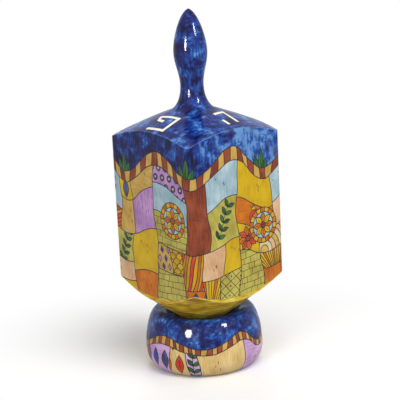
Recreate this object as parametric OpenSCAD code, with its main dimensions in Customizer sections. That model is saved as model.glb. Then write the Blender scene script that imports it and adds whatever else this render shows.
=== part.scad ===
// Painted wooden dreidel resting nose down in its turned stand.
// Millimetres, +Z up, origin at the centre of the stand's underside.
// Three separate pieces: the square block, its glued-in finger handle and the stand.

/* [Block] */
// Width of the square block across its flat faces
block_w = 60; // [50:1:80]
// Length of the block's upright corner edges
edge_h = 72.8; // [55:0.1:95]
// Rounding radius of the upright corner edges
edge_r = 2.4; // [1:0.1:5]
// Rise of the turned roof from the corners to the handle's foot
roof_h = 12.2; // [8:0.1:18]
// Outward swell of the roof above a straight cone
roof_swell = 0.4; // [0.1:0.1:1.5]

/* [Nose] */
// Drop from the block's lower corners to the ring that rests in the stand
seat_drop = 19.5; // [14:0.1:26]
// Drop from the resting ring to the point that the dreidel spins on
tip_drop = 9.6; // [7:0.1:13]
// Rounding radius of the spinning point
tip_r = 2.6; // [1:0.1:4]
// Inward hollow of the nose below the block, measured from a straight cone
nose_hollow = 0.3; // [0.1:0.1:1.5]

/* [Handle] */
// Height of the handle from the edge of its foot to its pointed top
handle_h = 49.3; // [40:0.1:62]
// Largest radius of the handle's bulb
bulb_r = 8.4; // [7:0.1:11]
// Height of the bulb's widest level above the foot
bulb_z = 28.3; // [24:0.1:34]
// Radius of the handle's waist
waist_r = 5.8; // [4.5:0.1:6.8]
// Height of the waist above the foot
waist_z = 12.1; // [8:0.1:16]
// Radius of the handle's flared foot
foot_r = 11.4; // [9:0.1:13]
// Thickness of the foot that is let into the roof
foot_t = 1.2; // [0.8:0.1:2]
// Radius of the glued tenon under the foot
tenon_r = 4.5; // [3.5:0.1:5.5]
// Length of the glued tenon under the foot
tenon_l = 18; // [10:0.5:30]

/* [Stand] */
// How far the stand's widest ring lies inside the block's faces
stand_inset = -0.1; // [-4:0.1:1]
// Height of the stand's widest level above the floor
belly_z = 9; // [4:0.1:12]
// How far the edge of the flat underside lies inside the widest ring
base_inset = 7.4; // [2:0.1:10]
// Height of the rim's crest above the floor
stand_h = 29.2; // [27:0.1:36]
// How far the rim's crest lies inside the widest ring
crest_inset = 6.3; // [5:0.1:9]
// Depth of the dished top from the crest down to the socket's mouth
dish_h = 2.3; // [1:0.1:4.5]
// Radius of the drilled socket
socket_r = 15; // [12:0.1:17]
// Width of the bevel at the socket's mouth, measured along the radius
bevel_w = 0.8; // [0.4:0.1:1.5]

/* [Fits] */
// Gap between the resting nose and the socket's mouth
seat_gap = 0.3; // [0.2:0.05:0.5]
// Glue gap round the handle's foot and tenon
glue_gap = 0.05; // [0.03:0.01:0.15]
// Room left for glue under the tenon's end
glue_room = 0.5; // [0.3:0.1:1]
// Room between the spinning point and the floor of the socket
tip_room = 6.6; // [5:0.1:8]

/* [Hidden] */
$fn = 96;
// Overrun of every cut
cut = 1;
// Steps along each curved stretch of an outline
steps = 10;
fine_steps = 18;
// Sweep of the foot's flare, in degrees from the waist, where it meets the roof's slope
flare_sweep = 80;
// Shares of the bulb's radius and of its height above the widest level that steer its pointed top
top_radius_shares = [1, 1, 0.54, 0];
top_height_shares = [0, 0.34, 0.93, 1];
// Sweep of the rim's inner rounding, in degrees from the crest
rim_sweep = 70;
// Shares of the dish's width and depth that the rim's inner rounding takes
rim_shares = [0.45, 0.25];

// Distance of the rounded corner edges from the axis
corner_r = (block_w / 2 - edge_r) * sqrt(2) + edge_r;
// Radii of the stand's widest ring, underside and crest, which follow the block's width
stand_r = block_w / 2 - stand_inset;
base_r = stand_r - base_inset;
crest_r = stand_r - crest_inset;

// Points of an arc from p to q that bulges by swell to the right of the way from p to q
function arc(p, q, swell, n) =
    let (d = q - p, l = norm(d), r = (l * l / 4 + swell * swell) / (2 * swell),
         out = [d[1], -d[0]] / l, c = (p + q) / 2 + out * (swell - r),
         a = asin(l / 2 / r))
    [for (i = [0 : n]) let (t = a * (2 * i / n - 1)) c + r * (out * cos(t) + d / l * sin(t))];

// Points of a quarter or part of an ellipse about c, from angle a to angle b
function oval(c, rx, rz, a, b, n) =
    [for (i = [0 : n]) let (t = a + (b - a) * i / n) c + [rx * cos(t), rz * sin(t)]];

// Points of a cubic curve steered by four radii and four heights
function cubic(r, z, n) =
    [for (i = [0 : n]) let (t = i / n, s = 1 - t, w = [s * s * s, 3 * s * s * t, 3 * s * t * t, t * t * t])
        [w * r, w * z]];

// All points of a stretch but the first, which the stretch before it already ends on
function rest(points) = [for (i = [1 : len(points) - 1]) points[i]];

// Mean slopes of the nose and of the roof, as rise over run
nose_slope = seat_drop / (corner_r - socket_r);
roof_slope = roof_h / (corner_r - foot_r);
// Level of the socket's mouth above the floor
mouth_z = stand_h - dish_h;
// Level of the block's lower corners above the floor
low_z = mouth_z + seat_drop + seat_gap / cos(atan(nose_slope));
// Level of the block's upper corners above the floor
high_z = low_z + edge_h;
// Level of the edge of the handle's foot above the floor
foot_z = high_z + roof_h;
// Level of the socket's floor above the stand's underside
socket_z = low_z - seat_drop - tip_drop - tip_room;

// Outline of the nose from the block's corners down to the spinning point,
// which is a ball that the lower cone runs on to without an edge
function nose_outline() =
    let (ball = [0, tip_r - seat_drop - tip_drop], seat = [socket_r, -seat_drop],
         v = seat - ball, a = atan2(v[1], v[0]) - acos(tip_r / norm(v)))
    concat(arc([corner_r, 0], seat, nose_hollow, steps), oval(ball, tip_r, tip_r, a, -90, steps));

// Outline of the roof from the block's corners up to the handle's foot
function roof_outline() = arc([corner_r, 0], [foot_r, roof_h], roof_swell, steps);

// Outline of the handle above its foot, from the foot's edge to the pointed top
function handle_outline() =
    let (flare_w = (foot_r - waist_r) / (1 - cos(flare_sweep)),
         flare_h = waist_z / sin(flare_sweep), top_h = handle_h - bulb_z)
    concat(
        oval([waist_r + flare_w, waist_z], flare_w, flare_h, 180 + flare_sweep, 180, fine_steps),
        [for (i = [1 : fine_steps]) let (t = i / fine_steps)
            [(waist_r + bulb_r) / 2 - (bulb_r - waist_r) / 2 * cos(180 * t),
             waist_z + (bulb_z - waist_z) * t]],
        [for (p = rest(cubic(bulb_r * top_radius_shares, top_h * top_height_shares, fine_steps)))
            p + [0, bulb_z]]);

// Outline of the stand from the edge of its underside round to the socket's mouth
function stand_outline() =
    let (rim_w = (crest_r - socket_r - bevel_w) * rim_shares[0], rim_h = dish_h * rim_shares[1])
    concat(
        oval([base_r, belly_z], stand_r - base_r, belly_z, -90, 0, steps),
        rest(oval([crest_r, belly_z], stand_r - crest_r, stand_h - belly_z, 0, 90, fine_steps)),
        rest(oval([crest_r, stand_h - rim_h], rim_w, rim_h, 90, 90 + rim_sweep, steps)),
        [[socket_r + bevel_w, mouth_z + bevel_w * nose_slope], [socket_r, mouth_z]]);

// Square column with rounded upright edges, tall enough for the roof and the nose
module column() {
    h = edge_h + roof_h + seat_drop + tip_drop + 2 * cut;
    flat_w = block_w - 2 * edge_r;
    translate([0, 0, low_z - seat_drop - tip_drop - cut]) {
        translate([-block_w / 2, -flat_w / 2, 0]) cube([block_w, flat_w, h]);
        translate([-flat_w / 2, -block_w / 2, 0]) cube([flat_w, block_w, h]);
        for (x = [-1, 1], y = [-1, 1])
            translate([x * flat_w / 2, y * flat_w / 2, 0]) cylinder(r = edge_r, h = h);
    }
}

// Block: turned at both ends, so that roof and nose meet the four flat faces in arcs
module block() {
    nose = nose_outline();
    roof = roof_outline();
    outline = concat([[corner_r + cut, high_z - cut * roof_slope]],
                     [for (p = roof) p + [0, high_z]], [[0, foot_z]],
                     [for (i = [len(nose) - 1 : -1 : 0]) nose[i] + [0, low_z]],
                     [[corner_r + cut, low_z + cut * nose_slope]]);
    color("goldenrod")
    difference() {
        intersection() {
            column();
            rotate_extrude() polygon(outline);
        }
        translate([0, 0, foot_z - foot_t]) cylinder(r = foot_r + glue_gap, h = foot_t + cut);
        translate([0, 0, foot_z - foot_t - tenon_l - glue_room])
            cylinder(r = tenon_r + glue_gap, h = tenon_l + glue_room + cut);
    }
}

// Handle: waisted bulb on a flared foot that is let into the roof, with its tenon
module handle() {
    outline = concat([[0, -foot_t - tenon_l], [tenon_r, -foot_t - tenon_l], [tenon_r, -foot_t],
                      [foot_r, -foot_t]], handle_outline());
    color("royalblue")
    translate([0, 0, foot_z]) rotate_extrude() polygon(outline);
}

// Stand: bun-shaped turning with a dished top and a flat-bottomed drilled socket
module stand() {
    outline = concat([[0, 0]], stand_outline(), [[socket_r, socket_z], [0, socket_z]]);
    color("mediumpurple") rotate_extrude() polygon(outline);
}

stand();
block();
handle();
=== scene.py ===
"""Looks of a hand-painted wooden dreidel that rests nose down in its turned stand.

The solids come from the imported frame. Paint is added in two ways. The brushed blue and the
ochre of the nose are materials of the solids. The patchwork on the block and the stand, and the
letters on the roof, are paint films: shapes drawn one over another on an unrolled surface, cut
into triangles where they overlap, and laid on the wood as a thin closed skin.
Lengths are in millimetres until a point is handed to Blender, which works in metres.
"""
import math
import random
from collections import namedtuple

import bpy
import numpy as np
from mathutils import Matrix, Vector
from mathutils.bvhtree import BVHTree
from mathutils.geometry import delaunay_2d_cdt


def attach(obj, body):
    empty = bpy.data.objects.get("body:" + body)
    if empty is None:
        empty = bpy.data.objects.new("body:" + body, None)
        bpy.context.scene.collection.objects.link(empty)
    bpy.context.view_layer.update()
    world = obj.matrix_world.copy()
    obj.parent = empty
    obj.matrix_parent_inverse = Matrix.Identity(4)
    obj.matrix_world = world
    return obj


MM = 0.001


def rgb(red, green, blue):
    """Linear colour of a screen colour given from 0 to 255"""
    return tuple((c / 255 / 12.92) if c <= 10 else ((c / 255 + 0.055) / 1.055) ** 2.4
                 for c in (red, green, blue)) + (1.0,)


# Block, as in the frame
HALF_WIDTH = 30.0
EDGE_RADIUS = 2.4
FLAT_HALF = HALF_WIDTH - EDGE_RADIUS
SIDE = 2 * FLAT_HALF + EDGE_RADIUS * math.pi / 2
ROUND = 4 * SIDE
LOWER_CORNERS = 46.8
CORNER_DISTANCE = 41.4
NOSE_SLOPE = 0.74
MIDDLE_HEIGHT = 83.0

# Stand, as in the frame
STAND_RADIUS = 30.1
STAND_ROUND = 2 * math.pi * STAND_RADIUS

# Paint films: how far they stand out of the wood and sink into it, the bare margin along the
# block's edges, the wider one at its lower arcs, and the sharpest bend that is shaded smooth
FILM = 0.05
SUNK = 0.02
FILM_MARGIN = 0.5
RIM_MARGIN = 2.2
SMOOTH_BEND = 40.0
# Rays that find the wood start this far out from the axis or this high up, in metres
RAYS_OUT = 0.05
RAYS_UP = 0.2

# Widths of lines
PEN = 0.44
VEIN_PEN = 0.3
JOINT_PEN = 0.28
RIB_PEN = 0.25
STEM = 0.5

# Each paint is a pair: where it lies thick, and where the brush left it thin
PAINTS = {
    "ink": (rgb(26, 22, 36), rgb(44, 38, 52)),
    "brown_ink": (rgb(52, 28, 24), rgb(80, 50, 36)),
    "white": (rgb(238, 230, 214), rgb(252, 249, 240)),
    "cream": (rgb(198, 180, 128), rgb(224, 210, 160)),
    "sand": (rgb(162, 150, 60), rgb(202, 190, 92)),
    "tan": (rgb(184, 144, 62), rgb(212, 174, 92)),
    # A lighter copy of tan for the stand, painted lighter to make up for the shade on its flank under
    # the block
    "light_tan": (rgb(206, 168, 96), rgb(236, 208, 148)),
    "ochre": (rgb(184, 138, 6), rgb(210, 164, 12)),
    "yellow": (rgb(196, 154, 4), rgb(220, 184, 16)),
    "orange": (rgb(182, 88, 8), rgb(216, 128, 22)),
    "rust": (rgb(172, 84, 16), rgb(208, 124, 40)),
    "red": (rgb(190, 40, 22), rgb(222, 84, 42)),
    "brick": (rgb(112, 46, 26), rgb(160, 78, 46)),
    "lilac": (rgb(160, 112, 172), rgb(198, 154, 202)),
    # A lighter copy of lilac for the stand, painted lighter to make up for the shade on its flank
    # under the block
    "light_lilac": (rgb(182, 136, 192), rgb(222, 184, 224)),
    "peach": (rgb(202, 154, 110), rgb(228, 190, 148)),
    "pale": (rgb(132, 166, 180), rgb(188, 208, 214)),
    "green": (rgb(24, 70, 34), rgb(66, 132, 58)),
    "slate": (rgb(52, 60, 104), rgb(96, 106, 146)),
    "blue": (rgb(28, 40, 118), rgb(58, 92, 184)),
}

# Brushed blue and the nose's ochre, from thick to thin, and the violet that tints the blue
BLUES = (
    (0.25, rgb(4, 4, 34)),
    (0.38, rgb(12, 18, 76)),
    (0.49, rgb(20, 50, 130)),
    (0.6, rgb(36, 88, 170)),
    (0.74, rgb(104, 150, 208)),
)
OCHRES = (
    (0.36, rgb(152, 96, 20)),
    (0.46, rgb(196, 146, 24)),
    (0.55, rgb(216, 188, 44)),
    (0.68, rgb(238, 222, 116)),
)
VIOLET = rgb(34, 14, 78)
BLACK = (0.0, 0.0, 0.0, 1.0)
WHITE = (1.0, 1.0, 1.0, 1.0)
MOST_VIOLET = (0.7, 0.7, 0.7, 1.0)
# How the blue on the walls thins out along +X: from one place to another, by how much at each
WASH = (-HALF_WIDTH, 2.0, -0.05, 0.2)
# How far above the nose's edge the ochre reaches, which is a little way under the film
OCHRE_RIM = RIM_MARGIN + 0.8

# The block's sharp edges: the radius that softens them, and the painted highlight along them, a pale
# line in place of the light that the edges catch: its width, how much lighter it makes the paint,
# and the distance from the axis beyond which it is painted
EDGE_SOFTNESS = 0.5 * MM
EDGE_HIGHLIGHT_WIDTH = 0.8 * MM
EDGE_HIGHLIGHT_TONE = 0.42
EDGE_HIGHLIGHT_STARTS = 25.0

# Paint under gloss lacquer, and the bump of the brush strokes in the lacquer
LACQUER = {
    "Roughness": 0.5,
    "Specular IOR Level": 0.03,
    "Coat Weight": 0.42,
    "Coat Roughness": 0.05,
    "Coat IOR": 1.45,
}
BUMP_STRENGTH = 0.035
BUMP_DEPTH = 0.1 * MM

# Wheels round the block, one on each wall: how far along it, their heights, radius and paints
WHEEL_PLACE = 0.28
WHEEL_HEIGHTS = (27, 36)
WHEEL_RADIUS = 9.0
WHEEL_PAINTS = ("pale", "orange", "yellow")
# Sprigs on the ribbon: how many, and the lean and length of each leaf
SPRIGS = 5
SPRIG_LEAVES = ((-14, 9.0), (4, 12.5), (20, 8.0))

# Letters: each side's turn, and strokes across and up the roof
LETTER_WIDTH = 1.65
LETTER_OUTLINE = 0.36
LETTER_BOX = ((-8, -32), (12, -11))
LETTERS = (
    (-90, (((1.8, -20.6), (-2.6, -19.9), (-4.2, -17.0), (7.8, -15.7), (8.4, -26.6), (-2.7, -27.5)),)),
    (0, (((0.0, -15.7), (7.3, -14.0), (7.5, -24.6)), ((0.3, -21.4), (0.8, -25.9)))),
    (90, (((1.6, -15.4), (6.2, -15.0), (7.0, -25.6)), ((6.6, -20.6), (1.8, -25.8)))),
    (180, (((1.8, -15.4), (6.6, -15.0), (7.0, -26.0), (0.6, -26.4)),)),
)
# A period so long that nothing repeats, for films that don't close on themselves
NO_REPEAT = 1000.0

# Camera, in degrees and metres
AZIMUTH = -39.95
ELEVATION = 13.18
ROLL = -2.78
DISTANCE = 0.6
TARGET_HEIGHT = 0.08507
TARGET_SIDE = 0.00124
LENS = 106.9
SENSOR = 36.0
CLIP_START = 0.05

# Studio
FLOOR_REACH = 1.5
FLOOR_COLOUR = (0.56, 0.56, 0.56, 1.0)
# Distances from the object at which the shaded floor starts and ends turning into plain white
SHADOW_REACH = (0.05, 0.16)
WORLD_LIGHT = 0.32
LAMP_AIM = 0.09
# Name, azimuth, elevation, distance, width and height in metres, power in watts, and what it
# lights: the paint, or only the lacquer, which mirrors it as a highlight
LAMPS = (
    ("left_glint", -162, 14, 1.2, 0.28, 0.42, 22.0, "lacquer"),
    ("right_glint", -80, 33, 1.2, 0.22, 0.38, 14.0, "lacquer"),
    ("soft_left", -162, 18, 1.2, 0.5, 0.5, 4.2, "paint"),
    ("soft_right", -80, 30, 1.2, 0.5, 0.5, 4.0, "paint"),
    ("soft_top", -100, 62, 1.4, 1.0, 1.0, 10.0, "paint"),
    ("soft_back", 55, 30, 1.3, 0.6, 0.6, 3.5, "paint"),
)


def new_object(name, data):
    """An object in the scene"""
    made = bpy.data.objects.new(name, data)
    bpy.context.scene.collection.objects.link(made)
    return made


# Drawing on an unrolled surface


def turned(point, degrees):
    """A 2-D point turned about the origin"""
    return Matrix.Rotation(math.radians(degrees), 2) @ point


def across(centre, angle, x, y):
    """Point at x along and y across a direction through a centre"""
    return centre + turned(Vector((x, y)), angle)


def sides(points):
    """Each point of an outline with the one after it"""
    return zip(points, points[1:] + points[:1])


def area(points):
    """Signed area of an outline, positive when it runs anticlockwise"""
    return sum(a.cross(b) for a, b in sides(points)) / 2


def mitred(into, out, distance, least):
    """Step to the right of a bend between two directions, kept short where the bend is sharp"""
    mitre = Vector((into.y + out.y, -into.x - out.x))
    return mitre * (distance / max(mitre.length_squared / 2, least))


def grow(points, distance):
    """An anticlockwise outline moved outwards by a distance, or inwards by a negative one"""
    grown = []
    for before, here, after in zip(points[-1:] + points[:-1], points, points[1:] + points[:1]):
        into = (here - before).normalized()
        out = (after - here).normalized()
        grown.append(here + mitred(into, out, distance, least=0.35))
    return grown


def ribbon(path, width):
    """Outline of a stroke of a given width along a path, with mitred bends"""
    left, right = [], []
    for i, here in enumerate(path):
        into = (here - path[i - 1]).normalized() if i else (path[1] - here).normalized()
        out = (path[i + 1] - here).normalized() if i + 1 < len(path) else into
        offset = mitred(into, out, width / 2, least=0.5)
        left.append(here - offset)
        right.append(here + offset)
    return right + left[::-1]


def disc(centre, radius, steps=14):
    """Round outline"""
    return [centre + radius * Vector((math.cos(a), math.sin(a)))
            for a in (2 * math.pi * i / steps for i in range(steps))]


def leaf(root, tip, width, steps=6):
    """Pointed oval outline from root to tip"""
    along = tip - root
    side = Vector((along.y, -along.x)).normalized() * width / 2
    edge = [(i / steps, math.sin(math.pi * i / steps)) for i in range(1, steps)]
    return ([root] + [root + along * t + side * w for t, w in edge]
            + [tip] + [root + along * t - side * w for t, w in reversed(edge)])


def rectangle(low, high):
    """Outline of a rectangle"""
    return [low, Vector((high.x, low.y)), high, Vector((low.x, high.y))]


def box_round(points, margin):
    """Outline of the upright rectangle round some points"""
    reach = Vector((margin, margin))
    low = Vector((min(p.x for p in points), min(p.y for p in points)))
    high = Vector((max(p.x for p in points), max(p.y for p in points)))
    return rectangle(low - reach, high + reach)


def refined(points, step=1.5):
    """An outline with added points, so that it can bend"""
    fine = []
    for a, b in sides(points):
        count = max(1, round((b - a).length / step))
        fine.extend(a.lerp(b, i / count) for i in range(count))
    return fine


def clipped(points, anchor, normal):
    """The part of an outline on the near side of a line"""
    kept = []
    for a, b in sides(points):
        height_a = (a - anchor).dot(normal)
        height_b = (b - anchor).dot(normal)
        if height_a <= 0:
            kept.append(a)
        if (height_a < 0 < height_b) or (height_b < 0 < height_a):
            kept.append(a.lerp(b, height_a / (height_a - height_b)))
    return kept


# One shape: its outline, its paint, the slant of its brush strokes, and the shape it lies within
Shape = namedtuple("Shape", "points paint slant within")


class Painting:
    """Shapes painted one over another. A shape within another shows only inside it."""

    def __init__(self, seed=0):
        self.shapes = []
        self.limits = {}
        self.random = random.Random(seed)

    def add(self, points, paint, slant=0.0, within=None):
        """Paints one shape over the others and returns its number"""
        if area(points) < 0:
            points = points[::-1]
        for a, b in self.limits.get(within, ()):
            points = clipped(points, a, Vector((b.y - a.y, a.x - b.x)))
        if len(points) > 2:
            self.shapes.append(Shape(points, paint, slant, within))
        return len(self.shapes) - 1

    def outlined(self, points, paint, slant=0.0, within=None, pen=PEN):
        """Paints one shape with an ink outline centred on its edge and returns its number"""
        if area(points) < 0:
            points = points[::-1]
        self.add(grow(points, pen / 2), "ink", slant, within)
        return self.add(grow(points, -pen / 2), paint, slant, within)

    def stroke(self, path, width, paint="ink", within=None):
        """Draws a line along a path"""
        self.add(ribbon(path, width), paint, 0.0, within)


# Fillings of the patches


class Patch(namedtuple("Patch", "painting cell centre angle paints")):
    """One patch of a painting, in which a filling draws about its centre and at its angle"""

    def at(self, x, y, turn=0):
        """Point at x along and y across the patch's angle, or one turned from it"""
        return across(self.centre, self.angle + turn, x, y)

    def grid(self, columns, rows, pitch, rise):
        """Number and place of each point of a grid, every other row moved by half a pitch"""
        for i in range(-columns, columns + 1):
            for j in range(-rows, rows + 1):
                yield i + j, self.at(i * pitch + j % 2 * pitch / 2, j * rise)

    def paint(self, number):
        """One of the patch's paints, which a number runs round"""
        return self.paints[number % len(self.paints)]

    def outlined(self, points, paint, turn=0, pen=PEN):
        """Paints one outlined shape within the patch"""
        self.painting.outlined(points, paint, self.angle + turn, self.cell, pen)

    def stroke(self, path, width, paint="ink"):
        """Draws a line within the patch"""
        self.painting.stroke(path, width, paint, self.cell)


def plain(patch):
    """A few short pen dashes on a plain wash"""
    reach, dash = 3.5, 1.5
    for _ in range(3):
        x = patch.painting.random.uniform(-reach, reach)
        y = patch.painting.random.uniform(-reach, reach)
        start = patch.at(x, y)
        patch.stroke([start, across(start, patch.angle + 90, dash, 0)], VEIN_PEN)


def bricks(patch):
    """Wavering courses with staggered joints, drawn with a fine brown pen"""
    course, brick, waver, lean = 3.2, 5.6, 0.25, 0.2
    for row in range(-7, 8):
        level = row * course
        path = [patch.at(x, level + waver * math.sin(x / 3 + 2 * row)) for x in range(-20, 21, 4)]
        patch.stroke(path, JOINT_PEN, "brown_ink")
        for column in range(-4, 5):
            x = brick * (column + row % 2 / 2) + math.sin(5 * row + 3 * column)
            joint = [patch.at(x, level), patch.at(x + lean, level + course)]
            patch.stroke(joint, JOINT_PEN, "brown_ink")


def stripes(patch):
    """Slightly wavy stripes"""
    pitch, waver = 3.6, 0.5
    for i in range(-5, 6):
        path = [patch.at(x, i * pitch + waver * math.sin(x / 4 + i)) for x in range(-18, 19, 3)]
        patch.outlined(ribbon(path, pitch * 0.5), patch.paint(abs(i)))


def checks(patch):
    """Checkerboard"""
    size = 2.7
    for i in range(-7, 7):
        for j in range(-7, 7):
            if (i + j) % 2:
                corners = [patch.at((i + x) * size, (j + y) * size)
                           for x, y in ((0, 0), (1, 0), (1, 1), (0, 1))]
                patch.outlined(corners, patch.paint(i), pen=PEN * 0.7)


def lattice(patch):
    """Diagonal pen lattice with a dot in every other mesh"""
    pitch, lean, dot_radius = 3.8, 38, 0.55
    for i in range(-6, 7):
        for turn in (lean, -lean):
            patch.stroke([patch.at(x, i * pitch, turn) for x in (-20, -7, 6, 20)], PEN * 0.75)
    mesh = pitch / math.sin(math.radians(2 * lean))
    for i in range(-4, 5):
        for j in range(-4, 5):
            if (i + j) % 2:
                along = patch.at(mesh * (i + 0.5), 0, lean)
                dot = across(along, patch.angle - lean, mesh * (j + 0.5), 0)
                patch.painting.add(disc(dot, dot_radius, 8), patch.paint(0), 0.0, patch.cell)


def scales(patch):
    """Overlapping fish scales"""
    size = 2.5
    for row in range(7, -8, -1):
        for column in range(-5, 6):
            at = patch.at((2 * column + row % 2) * size, row * size)
            patch.outlined(disc(at, size, 16), patch.paint(row + column))


def diamonds(patch):
    """Rows of upright diamonds"""
    corners = ((-1.1, 0), (0, -1.7), (1.1, 0), (0, 1.7))
    for number, at in patch.grid(3, 3, pitch=4.6, rise=4.2):
        points = [across(at, patch.angle, x, y) for x, y in corners]
        patch.outlined(points, patch.paint(number))


def rings(patch):
    """Ringed dots"""
    ring_radius, dot_radius = 1.55, 0.6
    for _, at in patch.grid(3, 3, pitch=5.2, rise=4.6):
        patch.outlined(disc(at, ring_radius), patch.paint(0))
        patch.painting.add(disc(at, dot_radius, 8), patch.paint(-1), patch.angle, patch.cell)


def leaves(patch):
    """A sprig with paired leaves"""
    lean, length, width = 48, 4.4, 2.0

    def on_stem(x):
        return patch.at(x, 0.9 * math.sin(x / 4))

    patch.stroke([on_stem(x) for x in range(-9, 10, 2)], STEM, "green")
    for x in range(-8, 9, 4):
        for turn in (-lean, lean):
            root = on_stem(x)
            tip = across(root, patch.angle + turn, length, 0)
            patch.outlined(leaf(root, tip, width), patch.paint(0), turn)
            patch.stroke([root, root.lerp(tip, 0.75)], RIB_PEN)


def rosette(patch):
    """One large flower with pointed petals"""
    for i in range(8):
        turn = i * 45
        petal = leaf(patch.at(1.0, 0, turn), patch.at(6.4, 0, turn), 3.2)
        patch.outlined(petal, patch.paint(i), turn)
        patch.stroke([patch.at(2.2, 0, turn), patch.at(4.8, 0, turn)], RIB_PEN)
    patch.painting.outlined(disc(patch.centre, 1.6), "brick", 0.0, patch.cell)


def zigzag(patch):
    """Zigzag bands"""
    tooth, height, rise, band = 2.2, 1.2, 4.6, 1.7
    for j in range(-3, 4):
        path = [patch.at(i * tooth, j * rise + (height if i % 2 else -height)) for i in range(-8, 9)]
        patch.outlined(ribbon(path, band), patch.paint(j))


def rays(patch):
    """Rays that fan out from beyond one corner of the patch"""
    hub = patch.at(-11, -6)
    spread, near, far = 11, 4, 30
    for i in range(-4, 12):
        turn = i * spread
        wedge = [across(hub, patch.angle + turn + part, reach, 0) for part, reach in
                 ((0, near), (0, far), (spread / 2, far), (spread / 2, near))]
        patch.outlined(wedge, patch.paint(i), turn)


def ripples(patch):
    """Nested rings round a point beyond the patch"""
    hub = patch.at(-12, -7)
    for i in range(9, 0, -1):
        patch.outlined(disc(hub, 2.6 * i, 40), patch.paint(i))


def fruit(patch):
    """A round fruit with a crown between two leaves"""
    root = patch.at(2.5, 0, -90)
    for lean in (-70, 70):
        tip = across(root, patch.angle - 90 + lean, 6.5, 0)
        patch.outlined(leaf(root, tip, 2.6), "green")
    crown = ((-0.9, 2.8), (0.9, 2.8), (1.9, 6.0), (0.7, 5.0), (0, 6.2), (-0.7, 5.0), (-1.9, 6.0))
    patch.outlined([patch.at(x, y) for x, y in crown], patch.paint(-1))
    patch.outlined(disc(patch.centre, 3.7, 18), patch.paint(0), 90)
    for side in (-1.6, 1.6):
        rib = [patch.at(side * math.cos(y / 3), y) for y in (-2.6, -1.3, 0, 1.3, 2.6)]
        patch.stroke(rib, RIB_PEN)


def drops(patch):
    """Rows of large upright drops"""
    half_height, width = 5.0, 4.4
    for number, at in patch.grid(2, 1, pitch=7.0, rise=12.5):
        foot = across(at, patch.angle, 0, -half_height)
        tip = across(at, patch.angle, 0, half_height)
        patch.outlined(leaf(foot, tip, width), patch.paint(number), 90)
        patch.stroke([foot.lerp(tip, 0.25), foot.lerp(tip, 0.75)], VEIN_PEN)


# The quilt of patches

# Patch designs by height: each is a ground, its filling, the filling's turn and its paints
LOW_DESIGNS = (
    ("sand", bricks, 4), ("orange", drops, 0, "blue", "slate"),
    ("sand", lattice, 20, "green"), ("orange", zigzag, 8, "slate", "red"),
    ("yellow", scales, 0, "yellow", "ochre"), ("sand", leaves, 70, "green"),
    ("ochre", stripes, 75, "red", "orange"), ("peach", plain, 0),
    ("rust", plain, 10), ("sand", lattice, -10, "brick"),
    ("yellow", plain, 40), ("orange", plain, 20),
    ("yellow", rays, 50, "orange", "yellow"),
)
MIDDLE_DESIGNS = (
    ("sand", lattice, 0, "brick"), ("yellow", drops, 0, "slate", "slate"),
    ("peach", plain, 20), ("sand", plain, 30), ("sand", bricks, -3),
    ("orange", fruit, 10, "red", "yellow"), ("tan", diamonds, 5, "blue", "lilac"),
    ("sand", leaves, 60, "green"), ("ochre", plain, 12),
    ("yellow", plain, 0), ("red", stripes, 15, "orange", "ochre"),
    ("yellow", scales, 4, "ochre", "yellow"), ("ochre", lattice, 15, "brick"),
    ("tan", ripples, 0, "peach", "tan", "cream"), ("yellow", rosette, 10, "orange", "red"),
)
HIGH_DESIGNS = (
    ("lilac", plain, 0), ("yellow", drops, 0, "slate", "blue"),
    ("pale", plain, 10), ("brick", plain, 80),
    ("pale", leaves, 95, "green"), ("yellow", plain, 10),
    ("tan", diamonds, 0, "blue", "blue"), ("sand", fruit, -8, "orange", "red"),
    ("pale", plain, 30), ("tan", checks, -10, "brick", "rust"),
    ("sand", lattice, 0, "brick"), ("yellow", stripes, 60, "red", "lilac"),
    ("tan", plain, 0), ("lilac", rings, 0, "slate", "peach"),
)
# The stand uses the lighter copies of lilac and tan: painted light against the shade under the block
STAND_DESIGNS = (
    ("light_lilac", plain, 0), ("light_tan", drops, 0, "red", "orange"),
    ("light_lilac", leaves, 80, "green"), ("light_tan", plain, 0),
    ("light_lilac", rings, 0, "blue", "cream"), ("yellow", scales, 0, "yellow", "ochre"),
    ("light_lilac", drops, 0, "blue", "slate"), ("light_tan", lattice, 0, "brick"),
    ("yellow", plain, 0), ("light_tan", stripes, 70, "orange", "rust"),
)

# Each quilt: its lowest and highest edge, the height of the wave that its top edge follows, the
# mean area of a patch, the designs from each height upwards, and the ribbon's width
Quilt = namedtuple("Quilt", "low high wave patch_area designs ribbon_width")
BLOCK_QUILT = Quilt(-10.0, 60.0, 6.0, 250.0,
                    ((-10, LOW_DESIGNS), (12, MIDDLE_DESIGNS), (36, HIGH_DESIGNS)), 6.2)
STAND_QUILT = Quilt(-1.0, 16.5, 3.0, 260.0, ((-10, STAND_DESIGNS),), 3.6)
BLOCK_SEED = 30
STAND_SEED = 11


def cut_up(low, high, patch_area, chance):
    """Rectangles of uneven sizes that fill a rectangle, as pairs of corners"""
    width, height = high - low
    if width * height < patch_area * chance.uniform(0.5, 2.6):
        return [(low, high)]
    share = chance.uniform(0.34, 0.66)
    if width > height * chance.uniform(0.6, 1.4):
        cut = low.x + width * share
        corners = ((low, Vector((cut, high.y))), (Vector((cut, low.y)), high))
    else:
        cut = low.y + height * share
        corners = ((low, Vector((high.x, cut))), (Vector((low.x, cut)), high))
    return [patch for pair in corners for patch in cut_up(*pair, patch_area, chance)]


def touching(patch, other):
    """Whether two patches share an edge or a corner"""
    (low, high), (other_low, other_high) = patch, other
    return (low.x <= other_high.x and other_low.x <= high.x
            and low.y <= other_high.y and other_low.y <= high.y)


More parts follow.
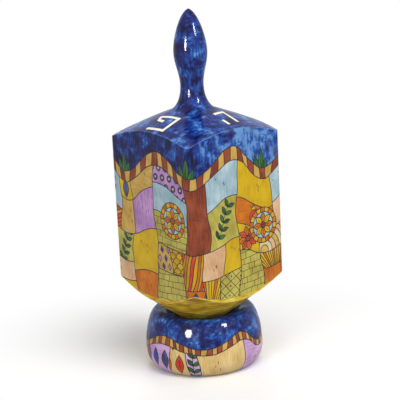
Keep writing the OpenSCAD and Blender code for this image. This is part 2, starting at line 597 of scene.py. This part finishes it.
def dealt(patches, designs, chance):
    """One design for each patch, with no ground next to its like where that can be helped"""
    hands = {floor: [] for floor, _ in designs}
    given = []
    for patch in patches:
        middle = (patch[0].y + patch[1].y) / 2
        floor, deck = [pair for pair in designs if pair[0] <= middle][-1]
        hand = hands[floor]
        beside = {design[0] for other, design in zip(patches, given) if touching(patch, other)}
        if all(design[0] in beside for design in hand):
            hand += chance.sample(deck, len(deck))
        pick = next((design for design in hand if design[0] not in beside), hand[0])
        hand.remove(pick)
        given.append(pick)
    return given


def swayed(point, quilt, period):
    """A point moved as if the quilt were drawn freehand, its top edge along a long wave"""
    turn = 2 * math.pi * point.x / period
    climb = max(point.y, 0.0) / quilt.high
    return Vector((
        point.x + 1.1 * math.sin(5 * turn + point.y / 7) + 0.4 * math.sin(17 * turn + point.y / 3),
        point.y + climb * quilt.wave * math.sin(5 * turn + 2.2) + 1.1 * math.sin(7 * turn + 1),
    ))


def patchwork(painting, quilt, period):
    """Paints a quilt of patches round a surface, below a sky that stays unpainted"""
    chance = painting.random
    low, high = Vector((0.0, quilt.low)), Vector((period, quilt.high))
    patches = cut_up(low, high, quilt.patch_area, chance)
    cells = []
    for patch, design in zip(patches, dealt(patches, quilt.designs, chance)):
        outline = [swayed(p, quilt, period) for p in refined(rectangle(*patch))]
        centre = swayed((patch[0] + patch[1]) / 2, quilt, period)
        cells.append((centre, outline, design))
    for _, outline, _ in cells:
        painting.add(grow(outline, PEN / 2), "ink")
    for centre, outline, (ground, filling, angle, *paints) in cells:
        cell = painting.add(grow(outline, -PEN / 2), ground, chance.choice((0, 90, 90, 70, 110)))
        painting.limits[cell] = list(sides(box_round(outline, PEN)))
        filling(Patch(painting, cell, centre, angle, paints))


def wheel(painting, centre):
    """A wheel of alternating segments round a flower"""
    hub_paint, *paints = WHEEL_PAINTS
    segments, inner = 18, 0.74
    step = 360 / segments
    corners = ((inner, 0), (1, 0), (1, 0.5), (1, 1), (inner, 1), (inner, 0.5))
    cell = painting.outlined(disc(centre, WHEEL_RADIUS, 40), hub_paint, 90)
    for i in range(segments):
        turn = step * i
        points = [across(centre, turn + step * share, WHEEL_RADIUS * reach, 0)
                  for reach, share in corners]
        painting.outlined(points, paints[i % 2], turn)
    rosette(Patch(painting, cell, centre, 0, paints))


def sprigs(painting, quilt, period):
    """Groups of upright green leaves that stand on the ribbon"""
    first, spread, width = 0.35, 0.09, 3.2
    for i in range(SPRIGS):
        for lean, length in SPRIG_LEAVES:
            place = period * (i + first) / SPRIGS + lean * spread
            foot = swayed(Vector((place, quilt.high)), quilt, period)
            tip = foot + turned(Vector((0, length)), -lean)
            painting.outlined(leaf(foot, tip, width), "green", 90 - lean)
            painting.stroke([foot.lerp(tip, 0.3), foot.lerp(tip, 0.8)], VEIN_PEN)


def striped_ribbon(painting, quilt, period):
    """A ribbon of brick and tan blocks along the quilt's top edge"""
    count = 2 * round(period / quilt.ribbon_width * 0.75)
    half = Vector((0.0, quilt.ribbon_width / 2))
    for i in range(count):
        low = Vector((period * i / count, quilt.high)) - half
        high = Vector((period * (i + 1) / count, quilt.high)) + half
        block = [swayed(p, quilt, period) for p in refined(rectangle(low, high), 1.2)]
        painting.outlined(block, ("brick", "tan")[i % 2], 90)


# Cutting a painting into a film


def tree_of(solid):
    """Ray-casting tree of a solid"""
    mesh = solid.data
    return BVHTree.FromPolygons([v.co for v in mesh.vertices], [p.vertices for p in mesh.polygons])


def covered(spots, outline):
    """Which of the spots lie inside an outline"""
    x, y = spots[:, 0, None], spots[:, 1, None]
    ends = np.array(outline)
    x0, y0 = ends.T
    x1, y1 = np.roll(ends, -1, axis=0).T
    spans = (y0 > y) != (y1 > y)
    run = np.where(y1 == y0, 1, y1 - y0)
    return (spans & (x < x0 + (y - y0) * (x1 - x0) / run)).sum(axis=1) % 2 == 1


def laid_out(shapes, outline, period):
    """Number and outline of each shape that reaches a piece of a surface, which repeats"""
    low = min(p.x for p in outline)
    high = max(p.x for p in outline)
    placed = []
    for index, shape in enumerate(shapes):
        for shift in (-period, 0, period):
            moved = [p + Vector((shift, 0)) for p in shape.points]
            if max(p.x for p in moved) > low and min(p.x for p in moved) < high:
                placed.append((index, moved))
    return placed


def topmost(spots, placed, shapes):
    """For each spot the number of the last shape painted over it, or -1 where it is bare"""
    top = np.full(len(spots), -1)
    none = np.array([], int)
    reached = {}
    for index, moved in placed:
        ends = np.array(moved)
        near = np.flatnonzero(((spots >= ends.min(axis=0)) & (spots <= ends.max(axis=0))).all(axis=1))
        hit = near[covered(spots[near], moved)]
        limit = shapes[index].within
        if limit is not None:
            hit = np.intersect1d(hit, reached.get(limit, none))
        reached[index] = np.union1d(reached.get(index, none), hit)
        top[hit] = index
    return top


def flatten(shapes, outline, guides, period):
    """Flat points, and the painted triangles of an outline, each with its topmost shape's number"""
    all_triangles, merged_within = 0, 1e-4
    placed = laid_out(shapes, outline, period)
    points, loops, edges = [], [], []
    for loop in [outline] + [moved for _, moved in placed]:
        loops.append(list(range(len(points), len(points) + len(loop))))
        points.extend(loop)
    for ends in guides:
        edges.append((len(points), len(points) + 1))
        points.extend(ends)
    cut = delaunay_2d_cdt(points, edges, loops, all_triangles, merged_within, False)
    flat, triangles = cut[0], cut[2]
    spots = np.array(flat)[np.array(triangles)].mean(axis=1)
    inside = np.flatnonzero(covered(spots, outline))
    top = topmost(spots[inside], placed, shapes)
    return flat, [(triangles[inside[i]], int(top[i])) for i in np.flatnonzero(top >= 0)]


def skin(flat, kept, chart, first):
    """Closed skin over the kept triangles: its vertices, numbered from first, its faces, and the
    flat place and the shape of each face's corners"""
    used = sorted({v for triangle, _ in kept for v in triangle})
    place = {v: first + i for i, v in enumerate(used)}
    below = len(used)
    vertices = [chart(flat[v], FILM) for v in used] + [chart(flat[v], -SUNK) for v in used]
    edges = {edge for triangle, _ in kept for edge in sides(triangle)}
    faces, corners = [], []
    for triangle, owner in kept:
        top = [place[v] for v in triangle]
        faces += [top, [v + below for v in reversed(top)]]
        corners += [(flat[v], owner) for v in triangle]
        corners += [(flat[v], owner) for v in reversed(triangle)]
        for a, b in sides(triangle):
            if (b, a) not in edges:
                faces.append([place[b], place[a], place[a] + below, place[b] + below])
                corners += [(flat[v], owner) for v in (b, a, a, b)]
    return vertices, faces, corners


def film(name, painting, chart, pieces, period, material):
    """A thin closed skin that shows a painting, laid on a surface by a chart"""
    vertices, faces, corners = [], [], []
    for outline, guides in pieces:
        flat, kept = flatten(painting.shapes, outline, guides, period)
        parts = skin(flat, kept, chart, len(vertices))
        for whole, part in zip((vertices, faces, corners), parts):
            whole.extend(part)
    mesh = bpy.data.meshes.new(name)
    mesh.from_pydata(vertices, [], faces)
    write_paint(mesh, corners, painting.shapes)
    mesh.shade_smooth()
    mesh.set_sharp_from_angle(angle=math.radians(SMOOTH_BEND))
    mesh.materials.append(material)
    return new_object(name, mesh)


def write_paint(mesh, corners, shapes):
    """Stores each corner's thick and thin colours and its place along its brush stroke"""
    apart = 3.7
    values = {"thick": [], "thin": [], "stroke": []}
    for point, owner in corners:
        shape = shapes[owner]
        thick, thin = PAINTS[shape.paint]
        values["thick"] += thick
        values["thin"] += thin
        values["stroke"] += (*turned(point, -shape.slant), owner * apart)
    for name, kind, field in (("thick", "FLOAT_COLOR", "color"), ("thin", "FLOAT_COLOR", "color"),
                              ("stroke", "FLOAT_VECTOR", "vector")):
        mesh.attributes.new(name, kind, "CORNER").data.foreach_set(field, values[name])


# Charts from an unrolled surface to the wood, and the pieces that the films are cut from


def wall_point(point, lift):
    """Place on the block's walls: distance round them from the middle of the -Y face, and height"""
    side, along = divmod(point.x + SIDE / 2, SIDE)
    along -= SIDE / 2
    past = abs(along) - FLAT_HALF
    if past <= 0:
        local = Vector((along, -HALF_WIDTH - lift))
    else:
        bend = past / EDGE_RADIUS
        radius = EDGE_RADIUS + lift
        out = FLAT_HALF + radius * math.sin(bend)
        local = Vector((math.copysign(out, along), -FLAT_HALF - radius * math.cos(bend)))
    flat = turned(local, 90 * side)
    return Vector((flat.x, flat.y, LOWER_CORNERS + point.y)) * MM


def wall_pieces(tree):
    """Outlines of the four corners' walls, each from the middle of one face to the next"""
    just_inside = -0.05
    steps, bend_steps = 60, 5
    lowest, highest = -12, 90
    pieces = []
    for corner in range(4):
        middle = (corner + 0.5) * SIDE
        bottom, top = [], []
        for i in range(steps + 1):
            along = middle - SIDE / 2 + SIDE * i / steps
            start = wall_point(Vector((along, MIDDLE_HEIGHT - LOWER_CORNERS)), just_inside)
            down = tree.ray_cast(start, Vector((0, 0, -1)))[0]
            up = tree.ray_cast(start, Vector((0, 0, 1)))[0]
            bend = math.cos(math.pi * (along % SIDE) / SIDE) ** 2
            margin = FILM_MARGIN + (RIM_MARGIN - FILM_MARGIN) * bend
            bottom.append(Vector((along, down.z / MM - LOWER_CORNERS + margin)))
            top.append(Vector((along, up.z / MM - LOWER_CORNERS - FILM_MARGIN)))
        guides = []
        for i in range(-bend_steps, bend_steps + 1):
            along = middle + i * EDGE_RADIUS * math.pi / 4 / bend_steps
            guides.append((Vector((along, lowest)), Vector((along, highest))))
        pieces.append((bottom + top[::-1], guides))
    return pieces


def net(across_stops, up_stops, low, high):
    """Upright and level guides across a rectangle"""
    return ([(Vector((x, low.y)), Vector((x, high.y))) for x in across_stops]
            + [(Vector((low.x, y)), Vector((high.x, y))) for y in up_stops])


def flank_chart(tree):
    """Chart of the stand's flank: distance round its widest ring, and height"""
    def place(point, lift):
        turn = point.x / STAND_RADIUS - math.pi / 2
        out = Vector((math.cos(turn), math.sin(turn), 0))
        start = out * RAYS_OUT + Vector((0, 0, point.y * MM))
        hit, normal, _, _ = tree.ray_cast(start, -out)
        return hit + normal * lift * MM
    return place


def flank_pieces():
    """Outlines of the four quarters of the stand's flank, with a net of guides so that they bend"""
    low, high = 0.4, 24.0
    steps, levels = 45, 32
    heights = [low + (high - low) * i / levels for i in range(1, levels)]
    pieces = []
    for quarter in range(4):
        start = quarter * STAND_ROUND / 4
        stops = [start + STAND_ROUND / 4 * i / steps for i in range(steps + 1)]
        outline = [Vector((s, low)) for s in stops] + [Vector((s, high)) for s in reversed(stops)]
        guides = net(stops[1:-1], heights, outline[0], Vector((stops[-1], high)))
        pieces.append((outline, guides))
    return pieces


def roof_chart(tree, turn):
    """Chart of one side of the roof: across the side, and up towards the handle"""
    def place(point, lift):
        flat = turned(point, turn)
        start = Vector((flat.x * MM, flat.y * MM, RAYS_UP))
        hit, normal, _, _ = tree.ray_cast(start, Vector((0, 0, -1)))
        return hit + normal * lift * MM
    return place


def letter_piece(low, high):
    """A plain rectangle with a net of guides, so that what is painted in it follows the roof"""
    across_stops = [low.x + i for i in range(1, int(high.x - low.x) + 1)]
    up_stops = [low.y + i for i in range(1, int(high.y - low.y) + 1)]
    return rectangle(low, high), net(across_stops, up_stops, low, high)


# Materials


class Nodes:
    """Short names for building the node tree of a material or a world"""

    def __init__(self, owner):
        self.tree = owner.node_tree

    def new(self, kind, **settings):
        """A new node with its settings"""
        node = self.tree.nodes.new("ShaderNode" + kind)
        for name, value in settings.items():
            setattr(node, name, value)
        return node

    def fill(self, sockets, values):
        """Links outputs to sockets, or sets them to numbers and colours"""
        for socket, value in zip(sockets, values):
            if isinstance(value, (int, float, tuple)):
                socket.default_value = value
            elif value is not None:
                self.tree.links.new(value, socket)

    def put(self, node, inputs):
        """Fills inputs of a node by their names"""
        self.fill([node.inputs[name] for name in inputs], inputs.values())

    def math(self, operation, a, b=None, c=None, clamp=False):
        """Sum, product or other result of up to three values"""
        node = self.new("Math", operation=operation, use_clamp=clamp)
        self.fill(node.inputs, (a, b, c))
        return node.outputs[0]

    def mix(self, factor, a, b):
        """Colour between two colours"""
        node = self.new("Mix", data_type="RGBA")
        self.fill((node.inputs[0], node.inputs[6], node.inputs[7]), (factor, a, b))
        return node.outputs[2]

    def map_range(self, value, start, end, low=0.0, high=1.0, **settings):
        """A value carried from one range to another"""
        node = self.new("MapRange", **settings)
        self.fill(node.inputs, (value, start, end, low, high))
        return node.outputs[0]

    def ramp(self, factor, stops):
        """Colour along a row of stops"""
        node = self.new("ValToRGB")
        elements = node.color_ramp.elements
        while len(elements) < len(stops):
            elements.new(0.5)
        for element, (position, colour) in zip(elements, stops):
            element.position = position
            element.color = colour
        self.fill(node.inputs, (factor,))
        return node.outputs[0]

    def noise(self, vector, scale=1.0, detail=2.0, roughness=0.5, distortion=0.0):
        """Cloudy noise"""
        node = self.new("TexNoise")
        self.put(node, {"Vector": vector, "Scale": scale, "Detail": detail, "Roughness": roughness,
                        "Distortion": distortion})
        return node.outputs[0]

    def mapped(self, vector, scale, rotation=(0, 0, 0)):
        """A vector turned, in degrees, and scaled"""
        node = self.new("Mapping")
        turn = tuple(math.radians(a) for a in rotation)
        self.put(node, {"Vector": vector, "Rotation": turn, "Scale": scale})
        return node.outputs[0]

    def streaks(self, vector, scale, rotation=(0, 0, 0), distortion=0.0):
        """Fine noise, drawn out in the directions whose scale is small"""
        return self.noise(self.mapped(vector, scale, rotation), 1.0, 3.0, 0.6, distortion)

    def split(self, vector):
        """The three numbers of a vector"""
        node = self.new("SeparateXYZ")
        self.fill(node.inputs, (vector,))
        return node.outputs

    def millimetres(self):
        """Place on the object in millimetres"""
        place = self.new("TexCoord").outputs["Object"]
        return self.mapped(place, (1 / MM, 1 / MM, 1 / MM))

    def normal(self):
        """Direction that the surface faces"""
        return self.new("NewGeometry").outputs["Normal"]

    def softened_normal(self, radius):
        """Direction that the surface faces, with its sharp edges rounded off"""
        bevel = self.new("Bevel", samples=6)
        self.put(bevel, {"Radius": radius})
        return bevel.outputs[0]


def new_material(name):
    """A material, its nodes and its surface shader"""
    material = bpy.data.materials.new(name)
    material.use_nodes = True
    return material, Nodes(material), material.node_tree.nodes["Principled BSDF"]


def lacquer(nodes, surface, colour, height, edge=None):
    """Paint under gloss lacquer, slightly uneven where the brush strokes show through. An edge
    radius softens the solid's sharp edges, where paint and lacquer build up."""
    bump = nodes.new("Bump")
    nodes.put(bump, {"Strength": BUMP_STRENGTH, "Distance": BUMP_DEPTH, "Height": height})
    nodes.put(surface, {"Base Color": colour, "Coat Normal": bump.outputs[0], **LACQUER})
    if edge:
        soft = nodes.softened_normal(edge)
        nodes.put(bump, {"Normal": soft})
        nodes.put(surface, {"Normal": soft})


def levelness(nodes):
    """0 on an upright face, 1 on a level one"""
    return nodes.math("ABSOLUTE", nodes.split(nodes.normal())[2])


def brush_strokes(nodes, place, lying):
    """Streaks that run upright on the whole, and more often level where the surface lies flat"""
    upright = nodes.streaks(place, (0.7, 0.7, 0.12), (8, -6, 0))
    level = nodes.streaks(place, (0.16, 0.6, 0.6), (0, 14, 35))
    choice = nodes.math("ADD", nodes.noise(place, scale=0.09, detail=1.0), lying)
    is_level = nodes.math("GREATER_THAN", choice, 0.6)
    either = nodes.new("Mix", data_type="FLOAT")
    nodes.fill((either.inputs[0], either.inputs[2], either.inputs[3]), (is_level, upright, level))
    return either.outputs[0]


def brushed_blue(nodes, place, paler_by=None):
    """Blue laid on in loose strokes, with dark pools, thin light places and a little violet"""
    lying = nodes.math("MULTIPLY", levelness(nodes), 0.3)
    strokes = brush_strokes(nodes, place, lying)
    pools = nodes.noise(place, scale=0.17, detail=4.0, roughness=0.62, distortion=0.3)
    tone = nodes.math("MULTIPLY_ADD", pools, 1.1, nodes.math("MULTIPLY", strokes, 0.6))
    tone = nodes.math("SUBTRACT", nodes.math("MULTIPLY_ADD", lying, 0.12, tone), 0.37)
    if paler_by:
        tone = nodes.math("ADD", tone, paler_by)
    tint = nodes.ramp(nodes.noise(place, scale=0.13), ((0.5, BLACK), (0.66, MOST_VIOLET)))
    return nodes.mix(tint, nodes.ramp(tone, BLUES), VIOLET), strokes


def blue_material():
    """Brushed blue all over"""
    material, nodes, surface = new_material("blue_paint")
    colour, height = brushed_blue(nodes, nodes.millimetres())
    lacquer(nodes, surface, colour, height, EDGE_SOFTNESS)
    return material


def brushed_ochre(nodes, place, paler_by):
    """Ochre brushed round the nose"""
    streaks = nodes.streaks(place, (0.1, 0.1, 0.9), distortion=0.4)
    pools = nodes.math("MULTIPLY", nodes.noise(place, scale=0.12), 0.4)
    tone = nodes.math("MULTIPLY_ADD", streaks, 0.6, pools)
    # paler_by carries the painted highlight along the nose's sharp edges
    return nodes.ramp(nodes.math("ADD", tone, paler_by), OCHRES)


def painted_edge_highlight(nodes, radius):
    """Painted highlight: how much lighter the paint is made along the block's sharp outer edges,
    where they would catch the light
    """
    gain = 5.0
    facing = nodes.new("VectorMath", operation="DOT_PRODUCT")
    nodes.fill(facing.inputs, (nodes.softened_normal(EDGE_HIGHLIGHT_WIDTH), nodes.normal()))
    bend = nodes.math("SUBTRACT", 1.0, facing.outputs["Value"])
    is_outer = nodes.math("GREATER_THAN", radius, EDGE_HIGHLIGHT_STARTS)
    edge_sheen = nodes.math("MULTIPLY", nodes.math("MULTIPLY", bend, gain, clamp=True), is_outer)
    return nodes.math("MULTIPLY", edge_sheen, EDGE_HIGHLIGHT_TONE)


def block_material():
    """Brushed blue above, ochre on the nose and on the rim that turns down to it"""
    material, nodes, surface = new_material("block_paint")
    place = nodes.millimetres()
    x, y, z = nodes.split(place)
    radius = nodes.math("SQRT", nodes.math("MULTIPLY_ADD", x, x, nodes.math("MULTIPLY", y, y)))
    # Painted highlight: a pale line along the sharp outer edges, on the blue and on the ochre alike
    edge_highlight = painted_edge_highlight(nodes, radius)
    is_wall = nodes.math("LESS_THAN", levelness(nodes), 0.5)
    # Paler where the blue thins out along +X, and paler still in the painted edge highlight
    paler_by = nodes.math("MULTIPLY_ADD", nodes.map_range(x, *WASH), is_wall, edge_highlight)
    blue, height = brushed_blue(nodes, place, paler_by)
    inward = nodes.math("SUBTRACT", CORNER_DISTANCE, radius)
    cone = nodes.math("SUBTRACT", LOWER_CORNERS, nodes.math("MULTIPLY", inward, NOSE_SLOPE))
    is_nose = nodes.math("LESS_THAN", nodes.math("SUBTRACT", z, cone), OCHRE_RIM)
    colour = nodes.mix(is_nose, blue, brushed_ochre(nodes, place, edge_highlight))
    lacquer(nodes, surface, colour, height, EDGE_SOFTNESS)
    return material


def film_material():
    """Thin hand-laid washes: each patch runs between its thick and its thin colour"""
    material, nodes, surface = new_material("film_paint")
    thick = nodes.new("Attribute", attribute_name="thick").outputs["Color"]
    thin = nodes.new("Attribute", attribute_name="thin").outputs["Color"]
    stroke = nodes.new("Attribute", attribute_name="stroke").outputs["Vector"]
    streaks = nodes.streaks(stroke, (0.14, 1.5, 1.0))
    pools = nodes.noise(nodes.mapped(stroke, (0.12, 0.12, 1.0)))
    tone = nodes.math("MULTIPLY_ADD", streaks, 0.5, nodes.math("MULTIPLY", pools, 0.5))
    wash = nodes.mix(nodes.ramp(tone, ((0.38, BLACK), (0.62, WHITE))), thick, thin)
    lacquer(nodes, surface, wash, streaks)
    return material


# Studio


def direction(azimuth, elevation):
    """Unit vector at an azimuth counted from +X and an elevation above the floor, in degrees"""
    turn = math.radians(azimuth)
    rise = math.radians(elevation)
    return Vector((math.cos(turn) * math.cos(rise), math.sin(turn) * math.cos(rise), math.sin(rise)))


def add_camera():
    """Camera at the photograph's viewing angle, whose azimuth 0 looks along +Y"""
    back = direction(AZIMUTH - 90, ELEVATION)
    right = direction(AZIMUTH, 0)
    target = Vector((0, 0, TARGET_HEIGHT)) + right * TARGET_SIDE
    axes = Matrix((right, back.cross(right), back)).transposed()
    roll = Matrix.Rotation(math.radians(ROLL), 3, "Z")
    camera = new_object("camera", bpy.data.cameras.new("camera"))
    camera.data.lens = LENS
    camera.data.sensor_width = SENSOR
    camera.data.sensor_fit = "HORIZONTAL"
    camera.data.clip_start = CLIP_START
    camera.matrix_world = Matrix.Translation(target + back * DISTANCE) @ (axes @ roll).to_4x4()
    bpy.context.scene.camera = camera


def add_lamp(name, azimuth, elevation, distance, width, height, power, lights):
    """Oval lamp that faces the middle of the object and lights either the paint or the lacquer"""
    light = bpy.data.lights.new(name, "AREA")
    light.shape = "ELLIPSE"
    light.size = width
    light.size_y = height
    light.energy = power
    lamp = new_object(name, light)
    out = direction(azimuth, elevation)
    lamp.location = Vector((0, 0, LAMP_AIM)) + out * distance
    lamp.rotation_euler = out.to_track_quat("Z", "Y").to_euler()
    lamp.visible_glossy = lights == "lacquer"
    lamp.visible_diffuse = lights == "paint"
    return lamp


def light_only(lamp, pieces):
    """Limits a lamp to some pieces"""
    lit = bpy.data.collections.new(lamp.name)
    for piece in pieces:
        lit.objects.link(piece)
    lamp.light_linking.receiver_collection = lit


def seen_directly(nodes):
    """1 for rays that come straight from the camera, off a mirror or through glass, otherwise 0"""
    path = nodes.new("LightPath")
    seen = nodes.math("MAXIMUM", path.outputs["Is Camera Ray"], path.outputs["Is Glossy Ray"])
    return nodes.math("MAXIMUM", seen, path.outputs["Is Transmission Ray"])


def add_world():
    """White where it is seen, and a plain soft light everywhere else"""
    world = bpy.data.worlds.new("studio")
    world.use_nodes = True
    bpy.context.scene.world = world
    nodes = Nodes(world)
    strength = nodes.map_range(seen_directly(nodes), 0.0, 1.0, low=WORLD_LIGHT)
    nodes.put(nodes.tree.nodes["Background"], {"Color": WHITE, "Strength": strength})


def floor_material():
    """Pale floor that looks white, keeps the object's shadow and runs out into plain white"""
    material, nodes, surface = new_material("pale_floor")
    seen = seen_directly(nodes)
    colour = nodes.mix(seen, FLOOR_COLOUR, WHITE)
    nodes.put(surface, {"Base Color": colour, "Roughness": 0.9, "Specular IOR Level": 0.0})
    distance = nodes.new("VectorMath", operation="LENGTH")
    nodes.fill(distance.inputs, (nodes.new("TexCoord").outputs["Object"],))
    away = nodes.map_range(distance.outputs["Value"], *SHADOW_REACH, interpolation_type="SMOOTHSTEP")
    white = nodes.new("Emission")
    either = nodes.new("MixShader")
    share = nodes.math("MULTIPLY", seen, away)
    nodes.fill(either.inputs, (share, surface.outputs[0], white.outputs[0]))
    nodes.put(nodes.tree.nodes["Material Output"], {"Surface": either.outputs[0]})
    return material


def add_floor():
    """Plain floor under the object"""
    mesh = bpy.data.meshes.new("floor")
    low, high = -FLOOR_REACH, FLOOR_REACH
    corners = ((low, low, 0), (high, low, 0), (high, high, 0), (low, high, 0))
    mesh.from_pydata(corners, [], [(0, 1, 2, 3)])
    mesh.materials.append(floor_material())
    new_object("floor", mesh)


# Painting the object


def paint_solids(solids):
    """Gives each solid its own paint"""
    blue = blue_material()
    for name, material in (("stand", blue), ("handle", blue), ("block", block_material())):
        solids[name].data.materials.clear()
        solids[name].data.materials.append(material)


def paint_walls(tree, paint):
    """The quilt, the wheels, the sprigs and the ribbon round the block's walls"""
    painting = Painting(BLOCK_SEED)
    patchwork(painting, BLOCK_QUILT, ROUND)
    for i in range(4):
        wheel(painting, Vector((ROUND * (i + WHEEL_PLACE) / 4, WHEEL_HEIGHTS[i % 2])))
    sprigs(painting, BLOCK_QUILT, ROUND)
    striped_ribbon(painting, BLOCK_QUILT, ROUND)
    walls = film("block_painting", painting, wall_point, wall_pieces(tree), ROUND, paint)
    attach(walls, "dreidel")


def paint_flank(tree, paint):
    """The quilt and the ribbon round the stand's flank"""
    painting = Painting(STAND_SEED)
    patchwork(painting, STAND_QUILT, STAND_ROUND)
    striped_ribbon(painting, STAND_QUILT, STAND_ROUND)
    flank = film("stand_painting", painting, flank_chart(tree), flank_pieces(), STAND_ROUND, paint)
    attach(flank, "stand")
    return flank


def paint_letters(tree, paint):
    """One film for each letter on the roof"""
    low, high = (Vector(corner) for corner in LETTER_BOX)
    for turn, paths in LETTERS:
        painting = Painting()
        for path in paths:
            points = [Vector(p) for p in path]
            start = points[0] + (points[0] - points[1]).normalized() * LETTER_OUTLINE
            end = points[-1] + (points[-1] - points[-2]).normalized() * LETTER_OUTLINE
            longer = [start, *points[1:-1], end]
            painting.stroke(longer, LETTER_WIDTH + 2 * LETTER_OUTLINE, "brown_ink")
        for path in paths:
            painting.stroke([Vector(p) for p in path], LETTER_WIDTH, "white")
        piece = film(f"letter_{turn % 360}", painting, roof_chart(tree, turn),
                     [letter_piece(low, high)], NO_REPEAT, paint)
        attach(piece, "dreidel")


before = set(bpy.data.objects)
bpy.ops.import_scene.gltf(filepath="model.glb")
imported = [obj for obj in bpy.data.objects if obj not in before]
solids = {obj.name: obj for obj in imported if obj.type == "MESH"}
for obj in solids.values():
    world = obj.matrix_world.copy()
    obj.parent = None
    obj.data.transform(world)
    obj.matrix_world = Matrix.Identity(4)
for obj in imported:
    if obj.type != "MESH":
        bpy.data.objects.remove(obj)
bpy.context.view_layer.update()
bpy.context.scene.view_settings.view_transform = "Standard"
add_camera()
add_world()
add_floor()
lamps = {settings[0]: add_lamp(*settings) for settings in LAMPS}

paint_solids(solids)
block_tree = tree_of(solids["block"])
film_paint = film_material()
paint_walls(block_tree, film_paint)
flank_film = paint_flank(tree_of(solids["stand"]), film_paint)
paint_letters(block_tree, film_paint)
# Seen from behind, the roof would mirror this lamp as one large white patch
light_only(lamps["right_glint"], (solids["stand"], flank_film, solids["handle"]))
